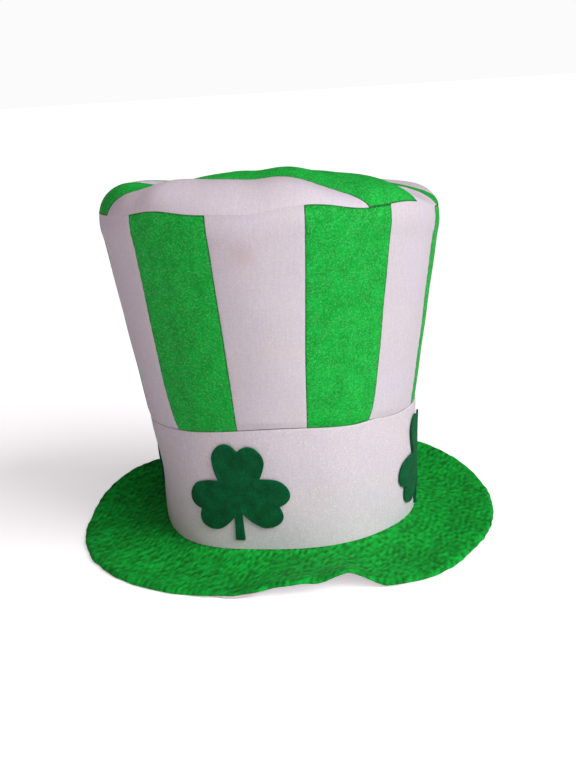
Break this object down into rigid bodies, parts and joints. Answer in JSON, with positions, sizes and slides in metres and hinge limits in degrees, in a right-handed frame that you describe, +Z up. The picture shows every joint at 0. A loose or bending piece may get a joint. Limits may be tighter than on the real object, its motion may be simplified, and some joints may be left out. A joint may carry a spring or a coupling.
{
  "type": "leprechaun hat",
  "caption": "Soft striped costume top hat with a flared panelled crown, a puffed top, a wide band with felt shamrocks and a wavy two-layer brim, worn on the head",
  "frame": {"origin": "on the surface that the hat rests on, under the middle of the whole hat's outline", "axes": "+Z up, the front of the hat with the middle shamrock faces -Y, +X to the wearer's left"},
  "size_m": [0.3046, 0.3095, 0.2619],
  "materials": {
    "white_shimmer_cloth": "white cloth with a fine metallic shimmer",
    "green_glitter_velour": "short-pile green velour with fine glitter threads",
    "green_brim_velour": "crushed green velour, mottled where the nap lies different ways",
    "white_brim_cloth": "plain white cloth",
    "green_felt": "matt dark green craft felt"
  },
  "bodies": {
    "root": {"crown_panel_01": "white_shimmer_cloth", "crown_panel_02": "green_glitter_velour", "crown_panel_03": "white_shimmer_cloth", "crown_panel_04": "green_glitter_velour", "crown_panel_05": "white_shimmer_cloth", "crown_panel_06": "green_glitter_velour", "crown_panel_07": "white_shimmer_cloth", "crown_panel_08": "green_glitter_velour", "crown_panel_09": "white_shimmer_cloth", "crown_panel_10": "green_glitter_velour", "crown_panel_11": "white_shimmer_cloth", "crown_panel_12": "green_glitter_velour", "top_stripe_1": "white_shimmer_cloth", "top_stripe_2": "green_glitter_velour", "top_stripe_3": "white_shimmer_cloth", "top_stripe_4": "green_glitter_velour", "top_stripe_5": "white_shimmer_cloth", "top_stripe_6": "green_glitter_velour", "hat_band": "white_shimmer_cloth", "brim_underside": "white_brim_cloth", "brim_top": "green_brim_velour", "shamrock_front": "green_felt", "shamrock_right": "green_felt", "shamrock_back": "green_felt", "shamrock_left": "green_felt"}
  },
  "joints": []
}
